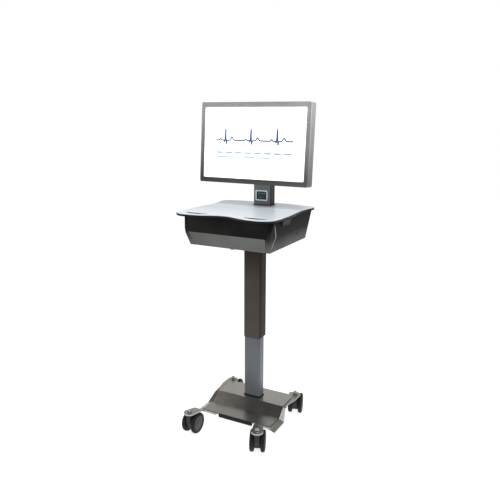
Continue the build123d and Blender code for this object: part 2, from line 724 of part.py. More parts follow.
def main():
    os.makedirs("parts", exist_ok=True)
    pieces = (
        base_frame, base_cover, cover_screws, caster_stems, caster_nuts,
        inner_tube, foot_gasket, glide_bush_upper, gas_spring_cylinder,
        outer_sleeve, glide_bush_lower, gas_spring_rod, head_plate,
        box_shell, power_inlet, runner_rails, power_pack,
        drawer_front, drawer_tray, runner_slides, drawer_catch,
        worktop_core, worktop_laminate, lever_bracket, release_lever,
        mast_post, head_screws, status_bezel, status_display, tilt_bracket, tilt_pin,
        display_bezel, screen_glass, display_panel, display_shell, tilt_yoke,
    )
    for piece in pieces:
        save(piece.__name__, piece())
    save_casters()


main()
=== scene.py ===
import json
import math
import bmesh
import bpy
from mathutils import Matrix, Vector

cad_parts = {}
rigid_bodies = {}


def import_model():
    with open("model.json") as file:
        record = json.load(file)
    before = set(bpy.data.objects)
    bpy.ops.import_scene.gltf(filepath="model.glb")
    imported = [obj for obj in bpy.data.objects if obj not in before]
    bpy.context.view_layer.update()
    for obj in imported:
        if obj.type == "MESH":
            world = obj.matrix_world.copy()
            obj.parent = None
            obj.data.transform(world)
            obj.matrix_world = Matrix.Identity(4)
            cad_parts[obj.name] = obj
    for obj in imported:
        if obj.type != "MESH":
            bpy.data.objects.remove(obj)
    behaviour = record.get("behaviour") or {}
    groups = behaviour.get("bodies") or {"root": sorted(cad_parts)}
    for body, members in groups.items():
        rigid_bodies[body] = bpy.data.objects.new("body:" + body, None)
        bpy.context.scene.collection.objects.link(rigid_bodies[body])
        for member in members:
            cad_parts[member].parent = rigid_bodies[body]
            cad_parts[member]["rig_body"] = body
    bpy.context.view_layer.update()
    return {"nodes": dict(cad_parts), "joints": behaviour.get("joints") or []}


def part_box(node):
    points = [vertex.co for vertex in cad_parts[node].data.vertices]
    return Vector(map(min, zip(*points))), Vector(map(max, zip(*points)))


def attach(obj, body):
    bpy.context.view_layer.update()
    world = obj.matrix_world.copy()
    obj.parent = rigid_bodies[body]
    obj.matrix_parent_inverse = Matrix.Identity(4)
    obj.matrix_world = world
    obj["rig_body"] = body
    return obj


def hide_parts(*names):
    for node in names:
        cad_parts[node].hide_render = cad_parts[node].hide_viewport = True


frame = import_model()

NODES = frame["nodes"]
JOINTS = {j["name"]: j for j in frame["joints"]}
SCENE = bpy.context.scene
CASTERS = ("front_left", "front_right", "rear_left", "rear_right")
MM = 0.001


# --- Materials --------------------------------------------------------------------------------
def link(tree, source, target):
    tree.links.new(source, target)


def math_node(tree, operation, a, b):
    node = tree.nodes.new("ShaderNodeMath")
    node.operation = operation
    for socket, value in zip(node.inputs, (a, b)):
        if isinstance(value, (int, float)):
            socket.default_value = value
        else:
            link(tree, value, socket)
    return node.outputs[0]


def remap(tree, value, source, target):
    node = tree.nodes.new("ShaderNodeMapRange")
    link(tree, value, node.inputs["Value"])
    node.inputs["From Min"].default_value, node.inputs["From Max"].default_value = source
    node.inputs["To Min"].default_value, node.inputs["To Max"].default_value = target
    return node.outputs["Result"]


def noise(tree, vector, scale, detail=3.0, stretch=None):
    if stretch:
        mapping = tree.nodes.new("ShaderNodeMapping")
        mapping.inputs["Scale"].default_value = stretch
        link(tree, vector, mapping.inputs["Vector"])
        vector = mapping.outputs["Vector"]
    node = tree.nodes.new("ShaderNodeTexNoise")
    node.inputs["Scale"].default_value = scale
    node.inputs["Detail"].default_value = detail
    link(tree, vector, node.inputs["Vector"])
    return node.outputs["Fac"]


def colour_mix(tree, factor, a, b, blend="MIX"):
    node = tree.nodes.new("ShaderNodeMix")
    node.data_type = "RGBA"
    node.blend_type = blend
    sockets = [s for s in node.inputs if s.type == "RGBA"]
    for socket, value in zip(sockets, (a, b)):
        if isinstance(value, tuple):
            socket.default_value = (*value, 1.0)
        else:
            link(tree, value, socket)
    if isinstance(factor, (int, float)):
        node.inputs[0].default_value = factor
    else:
        link(tree, factor, node.inputs[0])
    return [o for o in node.outputs if o.type == "RGBA"][0]


def finish_material(name, dark, light, rough, metal=0.0, grain=None, fine=900.0, patch=14.0, bump=0.00002,
                    coat=0.0, fine_share=0.5, shades=(), specular=0.5):
    """A surface whose colour and roughness vary in a fine grain and in large soft patches.

    grain stretches the fine pattern along an axis. Each of the shades is (axis, (low, high), (colour at low,
    colour at high)), a slow change of tone along the object. The shades stand in for reflections and shade that
    the lights do not give, so they are no property of the real surface."""
    material = bpy.data.materials.new(name)
    material.use_nodes = True
    tree = material.node_tree
    shader = tree.nodes["Principled BSDF"]
    where = tree.nodes.new("ShaderNodeTexCoord").outputs["Object"]
    small = noise(tree, where, fine, 4.0, grain)
    large = noise(tree, where, patch, 3.0)
    mixed = math_node(tree, "ADD", math_node(tree, "MULTIPLY", small, fine_share),
                      math_node(tree, "MULTIPLY", large, 1.0 - fine_share))
    colour = colour_mix(tree, remap(tree, mixed, (0.36, 0.64), (0.0, 1.0)), dark, light)
    for axis, limits, (low, high) in shades:
        split = tree.nodes.new("ShaderNodeSeparateXYZ")
        link(tree, where, split.inputs[0])
        along = remap(tree, split.outputs["XYZ".index(axis)], limits, (0.0, 1.0))
        colour = colour_mix(tree, 1.0, colour, colour_mix(tree, along, low, high), "MULTIPLY")
    link(tree, colour, shader.inputs["Base Color"])
    link(tree, remap(tree, mixed, (0.35, 0.65), rough), shader.inputs["Roughness"])
    shader.inputs["Metallic"].default_value = metal
    shader.inputs["Specular IOR Level"].default_value = specular
    shader.inputs["Coat Weight"].default_value = coat
    shader.inputs["Coat Roughness"].default_value = 0.12
    relief = tree.nodes.new("ShaderNodeBump")
    relief.inputs["Distance"].default_value = bump
    relief.inputs["Strength"].default_value = 1.0
    link(tree, small, relief.inputs["Height"])
    link(tree, relief.outputs["Normal"], shader.inputs["Normal"])
    return material


def lit_material(name, dark, light, strength, pattern):
    """A lit surface with a faint cell pattern."""
    material = bpy.data.materials.new(name)
    material.use_nodes = True
    tree = material.node_tree
    shader = tree.nodes["Principled BSDF"]
    where = tree.nodes.new("ShaderNodeTexCoord").outputs["Object"]
    cells = remap(tree, noise(tree, where, pattern, 2.0), (0.4, 0.6), (0.0, 1.0))
    colour = colour_mix(tree, cells, dark, light)
    link(tree, colour, shader.inputs["Base Color"])
    link(tree, colour, shader.inputs["Emission Color"])
    shader.inputs["Emission Strength"].default_value = strength
    link(tree, remap(tree, noise(tree, where, 40.0), (0.4, 0.6), (0.3, 0.4)), shader.inputs["Roughness"])
    return material


def glass_material():
    """Clear anti-glare glass with faint wipe marks."""
    material = bpy.data.materials.new("screen_glass_clear")
    material.use_nodes = True
    tree = material.node_tree
    tree.nodes.remove(tree.nodes["Principled BSDF"])
    where = tree.nodes.new("ShaderNodeTexCoord").outputs["Object"]
    gloss = tree.nodes.new("ShaderNodeBsdfGlossy")
    gloss.inputs["Color"].default_value = (0.75, 0.78, 0.82, 1.0)
    marks = noise(tree, where, 16.0, 4.0, (0.4, 1.0, 1.0))
    link(tree, remap(tree, marks, (0.4, 0.6), (0.12, 0.22)), gloss.inputs["Roughness"])
    clear = tree.nodes.new("ShaderNodeBsdfTransparent")
    edge = tree.nodes.new("ShaderNodeFresnel")
    edge.inputs["IOR"].default_value = 1.3
    mix = tree.nodes.new("ShaderNodeMixShader")
    link(tree, edge.outputs[0], mix.inputs[0])
    link(tree, clear.outputs[0], mix.inputs[1])
    link(tree, gloss.outputs[0], mix.inputs[2])
    link(tree, mix.outputs[0], tree.nodes["Material Output"].inputs["Surface"])
    return material


ALONG_X = (0.03, 1.0, 1.0)
ALONG_Z = (1.0, 1.0, 0.03)
WHITE = (1.0, 1.0, 1.0)
FINISHES = {
    # Painted shade: the deck's steel is darker towards the front
    "deck_steel": dict(
        dark=(0.37, 0.36, 0.33), light=(0.45, 0.44, 0.405), rough=(0.24, 0.34), metal=1.0,
        grain=ALONG_X, fine=700, patch=6, bump=0.00003,
        shades=[("Y", (-0.10, 0.02), ((0.86, 0.85, 0.83), WHITE))]),
    # A copy of the deck's steel for the slope, with a painted reflection: bright at the left end, dark at the
    # right
    "slope_painted_reflection": dict(
        dark=(0.33, 0.315, 0.295), light=(0.43, 0.415, 0.39), rough=(0.26, 0.36), metal=1.0,
        grain=ALONG_X, fine=700, patch=6, bump=0.00003,
        shades=[("X", (-0.17, 0.02), ((2.0, 1.9, 1.85), (0.58, 0.565, 0.54)))]),
    # A darker copy of the frame's steel for the rails' sloping stretch: painted shade
    "rail_painted_shade": dict(
        dark=(0.15, 0.148, 0.146), light=(0.19, 0.188, 0.186), rough=(0.36, 0.46), metal=1.0,
        grain=ALONG_X, fine=300, patch=9, bump=0.00002),
    "frame_steel": dict(
        dark=(0.33, 0.325, 0.29), light=(0.44, 0.435, 0.40), rough=(0.24, 0.36), metal=1.0,
        grain=ALONG_X, fine=700, patch=12, bump=0.00003),
    # Painted reflection and shade: the bezel is dark low down and to the left, and bright at the top right
    "bezel_steel": dict(
        dark=(0.34, 0.34, 0.33), light=(0.42, 0.42, 0.41), rough=(0.25, 0.36), metal=1.0, grain=ALONG_X,
        fine=800, patch=5, bump=0.00002,
        shades=[("Z", (1.20, 1.50), ((0.22, 0.245, 0.215), (1.1, 1.1, 1.1))),
                ("X", (-0.26, 0.26), ((0.66, 0.67, 0.66), (1.5, 1.5, 1.5)))]),
    "mast_steel": dict(
        dark=(0.13, 0.14, 0.14), light=(0.185, 0.195, 0.195), rough=(0.30, 0.42), metal=0.85,
        grain=ALONG_Z, fine=800, patch=9, bump=0.00002, specular=0.1),
    # A darker copy of the mast's steel for its sides: painted shade
    "mast_flank_painted_shade": dict(
        dark=(0.034, 0.035, 0.035), light=(0.048, 0.049, 0.049), rough=(0.40, 0.5), metal=0.0,
        grain=ALONG_Z, fine=800, patch=9, bump=0.00002, specular=0.1),
    "status_frame": dict(
        dark=(0.80, 0.86, 0.88), light=(0.88, 0.94, 0.96), rough=(0.35, 0.48), metal=0.2, fine=1400,
        patch=30, bump=0.00001),
    # Painted shade: the casing is darker towards the bottom
    "casing_metal": dict(
        dark=(0.28, 0.28, 0.275), light=(0.37, 0.37, 0.365), rough=(0.30, 0.42), metal=0.9,
        grain=ALONG_Z, fine=900, patch=10, bump=0.00002,
        shades=[("Z", (1.20, 1.50), ((0.36, 0.36, 0.35), (1.35, 1.35, 1.35)))]),
    "fastener": dict(
        dark=(0.36, 0.36, 0.34), light=(0.52, 0.52, 0.50), rough=(0.20, 0.32), metal=1.0, fine=1500,
        patch=90, bump=0.00001),
    # Painted reflection and shade: the tube is brighter low down and darker towards the top
    "tube_metal": dict(
        dark=(0.105, 0.115, 0.125), light=(0.145, 0.155, 0.165), rough=(0.30, 0.42), metal=0.55,
        grain=ALONG_Z, fine=900, patch=8, bump=0.00002,
        shades=[("Z", (0.14, 0.43), ((1.35, 1.33, 1.33), (0.75, 0.75, 0.77)))]),
    # Painted shadow: the sleeve is darker and browner at the top, under the box
    "sleeve_coat": dict(
        dark=(0.056, 0.048, 0.041), light=(0.072, 0.062, 0.054), rough=(0.40, 0.50), metal=0.0,
        fine=1600, patch=8, bump=0.00003, fine_share=0.35, specular=0.1,
        shades=[("Z", (0.66, 0.90), ((1.1, 1.1, 1.1), (0.26, 0.18, 0.09)))]),
    # A darker copy of the sleeve's coat for its sides: painted shade, darker still at the top
    "sleeve_flank_painted_shade": dict(
        dark=(0.036, 0.033, 0.029), light=(0.048, 0.044, 0.039), rough=(0.44, 0.54), metal=0.0,
        fine=1600, patch=8, bump=0.00003, fine_share=0.35, specular=0.05,
        shades=[("Z", (0.60, 0.91), (WHITE, (0.5, 0.44, 0.36)))]),
    # Painted reflection and shadow: the box is much brighter at the bottom and darker at the top, under the
    # worktop
    "box_steel": dict(
        dark=(0.018, 0.018, 0.0175), light=(0.026, 0.026, 0.025), rough=(0.46, 0.56), metal=0.0,
        grain=ALONG_Z, fine=600, patch=9, bump=0.00002, specular=0.02,
        shades=[("Z", (0.918, 0.98), ((5.5, 5.5, 5.5), WHITE)),
                ("Z", (0.98, 1.05), (WHITE, (0.42, 0.40, 0.37)))]),
    # Painted shade: the lower band is darker at its left end
    "drawer_lower": dict(
        dark=(0.085, 0.085, 0.081), light=(0.120, 0.120, 0.115), rough=(0.30, 0.42), metal=0.8,
        grain=ALONG_X, fine=600, patch=7, bump=0.00002,
        shades=[("X", (-0.2, -0.05), ((0.72, 0.72, 0.71), WHITE))]),
    "drawer_upper": dict(
        dark=(0.006, 0.0055, 0.0055), light=(0.013, 0.012, 0.011), rough=(0.30, 0.42), metal=0.0,
        grain=ALONG_Z, fine=500, patch=9, bump=0.00002, specular=0.12),
    # A bright copy of the box's sheet for the bead at its bend: painted highlight
    "bend_painted_highlight": dict(
        dark=(0.42, 0.42, 0.41), light=(0.60, 0.60, 0.59), rough=(0.18, 0.30), metal=1.0, grain=ALONG_Z,
        fine=900, patch=30, bump=0.00001),
    "tray_coat": dict(
        dark=(0.40, 0.40, 0.41), light=(0.52, 0.52, 0.53), rough=(0.40, 0.55), metal=0.1, fine=1800,
        patch=14, bump=0.00004),
    "zinc_steel": dict(
        dark=(0.22, 0.22, 0.23), light=(0.38, 0.38, 0.40), rough=(0.30, 0.45), metal=0.9, fine=90,
        patch=24, bump=0.00001),
    "black_plastic": dict(
        dark=(0.008, 0.008, 0.009), light=(0.016, 0.016, 0.018), rough=(0.42, 0.60), metal=0.0,
        fine=2200, patch=30, bump=0.00005, specular=0.25),
    "seal_rubber": dict(
        dark=(0.010, 0.010, 0.011), light=(0.022, 0.022, 0.023), rough=(0.60, 0.80), metal=0.0,
        fine=1200, patch=25, bump=0.00006, specular=0.2),
    "bush_plastic": dict(
        dark=(0.55, 0.55, 0.52), light=(0.68, 0.68, 0.65), rough=(0.45, 0.60), metal=0.0, fine=1500,
        patch=20, bump=0.00004),
    "core_edge": dict(
        dark=(0.004, 0.0045, 0.006), light=(0.008, 0.009, 0.011), rough=(0.34, 0.48), metal=0.0,
        fine=1800, patch=25, bump=0.00003, specular=0.15),
    "laminate": dict(
        dark=(0.73, 0.79, 0.84), light=(0.78, 0.84, 0.89), rough=(0.34, 0.42), metal=0.0, fine=1300,
        patch=4, bump=0.00001, coat=0.08, fine_share=0.25, specular=0.4),
    "fork_plastic": dict(
        dark=(0.016, 0.016, 0.018), light=(0.030, 0.030, 0.033), rough=(0.45, 0.62), metal=0.0,
        fine=1800, patch=35, bump=0.00006, specular=0.3),
    "hub_plastic": dict(
        dark=(0.040, 0.038, 0.043), light=(0.060, 0.057, 0.063), rough=(0.42, 0.58), metal=0.0,
        fine=1800, patch=45, bump=0.00006, specular=0.35),
    "tyre_rubber": dict(
        dark=(0.005, 0.005, 0.006), light=(0.012, 0.012, 0.013), rough=(0.50, 0.72), metal=0.0,
        fine=900, patch=40, bump=0.00008, specular=0.25),
    "axle_steel": dict(
        dark=(0.35, 0.35, 0.35), light=(0.5, 0.5, 0.5), rough=(0.20, 0.35), metal=1.0, fine=900,
        patch=60, bump=0.00001),
    "lcd_ground": dict(
        dark=(0.006, 0.014, 0.019), light=(0.010, 0.020, 0.026), rough=(0.16, 0.24), metal=0.0,
        fine=1200, patch=60, bump=0.000005, coat=0.1, specular=0.3),
}
MAT = {name: finish_material(name, **look) for name, look in FINISHES.items()}
MAT.update({
    "lcd_segment": lit_material("lcd_segment", (0.035, 0.085, 0.11), (0.05, 0.11, 0.14), 0.25, 900),
    "panel_lit": lit_material("panel_lit", (0.96, 0.97, 0.98), WHITE, 1.0, 700),
    "trace_blue": lit_material("trace_blue", (0.010, 0.050, 0.19), (0.014, 0.060, 0.22), 0.35, 600),
    "trace_pale": lit_material("trace_pale", (0.30, 0.44, 0.62), (0.34, 0.48, 0.66), 0.5, 600),
    "screen_glass": glass_material(),
})


# --- Mesh tools -------------------------------------------------------------------------------
def new_piece(name, verts, faces, material, body, stands_for=(), sharp=35.0):
    mesh = bpy.data.meshes.new(name)
    mesh.from_pydata([tuple(v) for v in verts], [], faces)
    return dress(name, mesh, material, body, stands_for, sharp)


def dress(name, mesh, material, body, stands_for=(), sharp=35.0):
    """Finishes a mesh as a piece of the model: normals, shading, material, body and slot."""
    bm = bmesh.new()
    bm.from_mesh(mesh)
    bmesh.ops.recalc_face_normals(bm, faces=bm.faces)
    bm.to_mesh(mesh)
    bm.free()
    mesh.polygons.foreach_set("use_smooth", [True] * len(mesh.polygons))
    mesh.set_sharp_from_angle(angle=math.radians(sharp))
    if not mesh.materials:
        mesh.materials.append(MAT[material])
    piece = bpy.data.objects.new(name, mesh)
    SCENE.collection.objects.link(piece)
    if stands_for:
        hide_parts(*stands_for)
    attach(piece, body)
    return piece


def moved(verts, matrix):
    return [matrix @ Vector(v) for v in verts]


def joined(parts):
    """Several (verts, faces) lists as one."""
    verts, faces = [], []
    for more_verts, more_faces in parts:
        shift = len(verts)
        verts += list(more_verts)
        faces += [tuple(i + shift for i in f) for f in more_faces]
    return verts, faces


def loft(loops, closed=False, cap=True):
    """Faces between loops with the same number of points. closed joins the last loop to the first."""
    n = len(loops[0])
    verts = [p for loop in loops for p in loop]
    faces = []
    rows = len(loops)
    for r in range(rows if closed else rows - 1):
        a, b = r * n, (r + 1) % rows * n
        faces += [(a + i, a + (i + 1) % n, b + (i + 1) % n, b + i) for i in range(n)]
    if cap and not closed:
        faces += [tuple(range(n))[::-1], tuple(range((rows - 1) * n, rows * n))]
    return verts, faces


def lathe(profile, segments=72, closed=False):
    """(radius, height) points turned about Z."""
    turns = [math.tau * i / segments for i in range(segments)]
    return loft([[(r * math.cos(t), r * math.sin(t), h) for t in turns] for r, h in profile], closed)


def round_rect(width, depth, radius, steps=6):
    """Points of a rounded rectangle about the origin, anticlockwise."""
    points = []
    for quarter, (sx, sy) in enumerate(((1, 1), (-1, 1), (-1, -1), (1, -1))):
        cx, cy = sx * (width / 2 - radius), sy * (depth / 2 - radius)
        for i in range(steps + 1):
            t = math.radians(90 * quarter + 90 * i / steps)
            points.append((cx + radius * math.cos(t), cy + radius * math.sin(t)))
    return points


def rect_ring(width, depth, radius, profile, closed=True):
    """A rounded rectangle swept with a profile of (outward offset, height) points."""
    loops = []
    for out, height in profile:
        loop = round_rect(width + 2 * out, depth + 2 * out, max(radius + out, 0.2 * MM))
        loops.append([(x, y, height) for x, y in loop])
    return loft(loops, closed)


def pad(width, depth, height, radius, edge):
    """A low block with rounded corners and a rounded top edge, standing on z = 0."""
    steps = [(0.0, 0.0), (0.0, height - edge)]
    steps += [(-edge * (1 - math.cos(math.radians(a))), height - edge * (1 - math.sin(math.radians(a))))
              for a in (30, 60, 90)]
    return rect_ring(width, depth, radius, steps, closed=False)


def in_mm(profile):
    """Pairs of millimetres as pairs of metres."""
    return [(a * MM, b * MM) for a, b in profile]


def facing(point, axis):
    """Puts z = 0 at the point with Z along the axis."""
    turned = Vector(axis).normalized().to_track_quat("Z", "Y").to_matrix().to_4x4()
    return Matrix.Translation(Vector(point)) @ turned


def swept_tube(path, radius, sides=12):
    """A round bead along a list of points, with rounded ends."""
    points = [Vector(p) for p in path]
    loops = []
    side = None
    for i, point in enumerate(points):
        along = (points[min(i + 1, len(points) - 1)] - points[max(i - 1, 0)]).normalized()
        side = (side - side.dot(along) * along).normalized() if side else along.orthogonal().normalized()
        other = along.cross(side)
        r = radius * (0.35 if i in (0, len(points) - 1) else 1.0)
        loops.append([point + r * (math.cos(t) * side + math.sin(t) * other)
                      for t in (math.tau * k / sides for k in range(sides))])
    return loft(loops)


def edged_copy(node, material, width, segments=2, angle=28.0, second=None):
    """A CAD piece remade with its sharp edges broken. second is (material, test of the faces that have it)."""
    bm = bmesh.new()
    bm.from_mesh(NODES[node].data)
    bmesh.ops.remove_doubles(bm, verts=bm.verts, dist=1e-6)
    bmesh.ops.dissolve_limit(bm, angle_limit=math.radians(0.6), verts=bm.verts, edges=bm.edges)
    sharp = [e for e in bm.edges if len(e.link_faces) == 2 and e.calc_face_angle() > math.radians(angle)]
    bmesh.ops.bevel(bm, geom=sharp, offset=width, segments=segments, profile=0.5, affect="EDGES",
                    clamp_overlap=True, offset_type="OFFSET")
    mesh = bpy.data.meshes.new(node + "_edged")
    mesh.materials.append(MAT[material])
    if second:
        mesh.materials.append(MAT[second[0]])
        for face in bm.faces:
            face.material_index = int(second[1](face))
    bmesh.ops.triangulate(bm, faces=[f for f in bm.faces if len(f.verts) > 4])
    bm.to_mesh(mesh)
    bm.free()
    piece = dress(node + "_edged", mesh, material, NODES[node]["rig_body"], (node,))
    weights = piece.modifiers.new("Weighted", "WEIGHTED_NORMAL")
    weights.keep_sharp = True
    return piece


def paint(material, *names):
    """Gives CAD nodes a material."""
    for name in names:
        slots = NODES[name].data.materials
        slots.clear()
        slots.append(MAT[material])


def at(x, y, z):
    """A point about the column's axis, in millimetres, as a point of the model."""
    return Vector((x, y + COLUMN_Y, z)) * MM


tube_low, tube_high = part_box("inner_tube")
COLUMN_Y = (tube_low.y + tube_high.y) / 2 / MM

# --- Base and column --------------------------------------------------------------------------
LEANING = 0.3           # least share of the normal towards a side, for a face that leans that way
RAIL_X = 0.178          # the frame's side flanges are outside this
RAIL_TURN = 0.15        # and turn outwards by at least this share of the normal


def on_slope(face):
    """The fold of the base that slopes down to the front."""
    return face.normal.y < -LEANING and face.normal.z > LEANING


def on_rail(face):
    """The sloping stretch of the frame's side flanges."""
    return abs(face.calc_center_median().x) > RAIL_X and abs(face.normal.x) > RAIL_TURN and on_slope(face)


# The sloping stretch of the frame's side flanges gets a darker copy of the steel: painted shade
edged_copy("base_frame", "frame_steel", 0.5 * MM, second=("rail_painted_shade", on_rail))
# The cover's slope gets its own copy of the steel, with a painted reflection along it
edged_copy("base_cover", "deck_steel", 0.4 * MM, second=("slope_painted_reflection", on_slope))
paint("fastener", "cover_screws", "caster_stems")
paint("tube_metal", "inner_tube")
paint("bush_plastic", "glide_bush_upper", "glide_bush_lower")
paint("zinc_steel", "gas_spring_cylinder", "gas_spring_rod", "head_plate")

# The seal round the tube's foot, and the wiper in the sleeve's mouth: (outward offset, height) profiles
TUBE_W, TUBE_D = tube_high.x - tube_low.x, tube_high.y - tube_low.y
TUBE_CORNER = 8 * MM
GASKET_DRAWN_H = 6 * MM         # height of the profile as listed, scaled to the node's own height
GASKET = [(0.05, 0), (4.0, 0), (4.0, 1.2), (3.2, 2.0), (2.6, 2.4), (2.6, 3.4), (1.4, 5.2), (0.9, 5.8),
          (0.05, 6.0)]
gasket_low, gasket_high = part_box("foot_gasket")
gasket_h = gasket_high.z - gasket_low.z
profile = [(o * MM, h * MM * gasket_h / GASKET_DRAWN_H) for o, h in GASKET]
verts, faces = rect_ring(TUBE_W, TUBE_D, TUBE_CORNER, profile)
gasket_place = Matrix.Translation(at(0, 0, gasket_low.z / MM))
new_piece("foot_gasket_lip", moved(verts, gasket_place), faces, "seal_rubber", "base",
          ("foot_gasket",))

WIPER = [(0.6, 0.0), (1.4, 0.6), (2.9, 0.9), (3.0, 8.0), (1.2, 8.0), (1.0, 1.6)]
WIPER_INSET = 5.0
sleeve_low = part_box("outer_sleeve")[0]
verts, faces = rect_ring(TUBE_W, TUBE_D, TUBE_CORNER, in_mm(WIPER))
wiper_place = Matrix.Translation(at(0, 0, sleeve_low.z / MM + WIPER_INSET))
new_piece("sleeve_wiper", moved(verts, wiper_place), faces, "seal_rubber", "head")

# Domed nuts on the caster stems, with washers: heights above the frame's ears
NUT_R, NUT_TURN = 11.3 * MM, 15         # corner radius of the hexagon, and its turn in degrees
WASHER = [(6.3, 0), (12, 0), (12, 1.2), (11.5, 1.6), (6.3, 1.6)]
NUT_SIDES = ((0.93, 1.6), (1.0, 2.2), (1.0, 6.8), (0.93, 7.6))      # share of the radius, height
DOME_R, DOME_RISE, DOME_Z = 8.3, 7.2, 8.2
nut_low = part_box("caster_nuts")[0]
corners = [math.radians(60 * i + NUT_TURN) for i in range(6)]
hexagon = [(NUT_R * math.cos(t), NUT_R * math.sin(t)) for t in corners]
dome_turns = [math.radians(a) for a in range(0, 90, 10)]
DOME = [(8.6 * MM, 7.4 * MM)]
DOME += [(DOME_R * MM * math.cos(t), (DOME_Z + DOME_RISE * math.sin(t)) * MM) for t in dome_turns]
DOME += [(0.2 * MM, 15.4 * MM)]
for name in CASTERS:
    centre = Vector(JOINTS["swivel_" + name]["pos_m"])
    base = Matrix.Translation(Vector((centre.x, centre.y, nut_low.z)))
    washer = lathe(in_mm(WASHER), closed=True)
    sides = loft([[(x * share, y * share, h * MM) for x, y in hexagon] for share, h in NUT_SIDES])
    verts, faces = joined((washer, sides, lathe(DOME, 48)))
    stands_for = ("caster_nuts",) if name == CASTERS[0] else ()
    new_piece("dome_nut_" + name, moved(verts, base), faces, "fastener", "base", stands_for)

# --- Casters ----------------------------------------------------------------------------------
# (radius, distance out from the wheel's middle) profiles of tyre and hub, (radius, height) of the ring
WHEEL_OUT = 25 * MM
TREAD = [(42.0, 10.0), (45.0, 9.35), (47.6, 7.6), (49.3, 5.0), (49.85, 2.4), (49.85, 1.2), (49.45, 0.5)]
TYRE = [(37.1, -9.9)] + [(r, -h) for r, h in TREAD] + TREAD[::-1] + [(37.1, 9.9)]
HUB = [(6.0, -8.5), (12.0, -8.5), (13.0, -7.0), (31.0, -7.0), (32.5, -9.0), (37.0, -9.0), (37.0, 9.3),
       (35.8, 9.9), (34.2, 9.6), (33.6, 8.6), (32.4, 8.2), (31.4, 6.9), (26.0, 7.0), (20.0, 7.5), (14.5, 8.4),
       (13.2, 8.6), (12.8, 9.6), (11.6, 10.0), (4.5, 10.0), (3.4, 9.5), (0.3, 9.5)]
RING = [(9.0, 98.0), (20.5, 98.0), (23.2, 100.0), (23.4, 103.6), (22.6, 105.0), (17.0, 105.6), (9.0, 105.6)]
for name in CASTERS:
    caster = "caster_" + name
    paint("fork_plastic", "fork_" + name)
    paint("axle_steel", "axle_" + name)
    centre = Vector(JOINTS["swivel_" + name]["pos_m"])
    verts, faces = lathe(in_mm(RING), closed=True)
    new_piece("swivel_ring_" + name, moved(verts, Matrix.Translation(Vector((centre.x, centre.y, 0)))), faces,
              "fork_plastic", caster)
    for label in "ab":
        wheel = f"{name}_{label}"
        hub_low, hub_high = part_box(f"hub_{wheel}")
        axle = Vector(JOINTS[f"spin_{wheel}"]["pos_m"])
        out = (hub_low + hub_high) / 2 - axle
        out.z = 0
        place = facing(axle + out.normalized() * WHEEL_OUT, out)
        verts, faces = lathe(in_mm(TYRE), 96, closed=True)
        new_piece(f"tyre_tread_{wheel}", moved(verts, place), faces, "tyre_rubber", f"wheel_{wheel}",
                  (f"tyre_{wheel}",), sharp=60)
        verts, faces = lathe(in_mm(HUB), 96)
        new_piece(f"hub_disc_{wheel}", moved(verts, place), faces, "hub_plastic", f"wheel_{wheel}",
                  (f"hub_{wheel}",), sharp=40)

# --- Box and drawer ---------------------------------------------------------------------------
FOLD_Z = 0.978          # height of the fold across the drawer's front
edged_copy("box_shell", "box_steel", 0.7 * MM)


def is_lower_band(face):
    return face.calc_center_median().z < FOLD_Z and face.normal.y < -LEANING


edged_copy("drawer_front", "drawer_upper", 0.5 * MM, second=("drawer_lower", is_lower_band))
paint("tray_coat", "drawer_tray")
paint("zinc_steel", "runner_slides", "runner_rails")
paint("black_plastic", "drawer_catch", "power_pack", "power_inlet", "head_screws")

# A bright bead at the bend between each side and its front flange, along the shell's bowed front edge: a
# painted highlight, much brighter than the shell's own dark finish
FRONT_LINE = ((-252, 1055), (-273, 978), (-244, 913))      # (y, z) of the folded front, about the column
BEND_FOLD_R = 60.0                      # radius of the bow where the front folds
HALF_LOW, HALF_TOP = 200.5, 225.0       # half widths of the box at the ends of the line
BEAD_R, BEAD_INSET = 1.7 * MM, 1.0
NEAR_END = 0.94                         # share of a straight run that the bead covers


def rounded_corner(a, corner, b, radius, steps=14):
    """Points of the arc that rounds a corner between two straight runs."""
    a, corner, b = Vector(a), Vector(corner), Vector(b)
    to_a, to_b = (a - corner).normalized(), (b - corner).normalized()
    half = to_a.angle(to_b) / 2
    centre = corner + (to_a + to_b).normalized() * radius / math.sin(half)
    start = corner + to_a * radius / math.tan(half) - centre
    end = corner + to_b * radius / math.tan(half) - centre
    return [centre + start.slerp(end, i / steps) for i in range(steps + 1)]


front_top, front_fold, front_low = FRONT_LINE
bow = rounded_corner(front_top, front_fold, front_low, BEND_FOLD_R)
bow = [bow[0].lerp(Vector(front_top), NEAR_END), bow[0].lerp(Vector(front_top), 0.5), *bow,
       bow[-1].lerp(Vector(front_low), 0.5), bow[-1].lerp(Vector(front_low), NEAR_END)]
for side, label in ((1, "right"), (-1, "left")):
    path = []
    for y, z in bow:
        half = HALF_LOW + (HALF_TOP - HALF_LOW) * (z - front_low[1]) / (front_top[1] - front_low[1])
        path.append(at(side * (half - BEAD_INSET), y + BEAD_INSET, z))
    verts, faces = swept_tube(path, BEAD_R)
    new_piece("shell_painted_highlight_" + label, verts, faces, "bend_painted_highlight", "head")

# --- Worktop ----------------------------------------------------------------------------------
edged_copy("worktop_core", "core_edge", 1.4 * MM, 3)
edged_copy("worktop_laminate", "laminate", 0.35 * MM)
paint("black_plastic", "release_lever", "lever_bracket")

# --- Mast and display -------------------------------------------------------------------------
SQUARE_ON = 0.5         # share of the normal that counts as facing a side


def on_flank(face):
    return abs(face.normal.x) > SQUARE_ON


def off_screen(face):
    """Every face of the panel but its lit front."""
    return face.normal.y > -SQUARE_ON


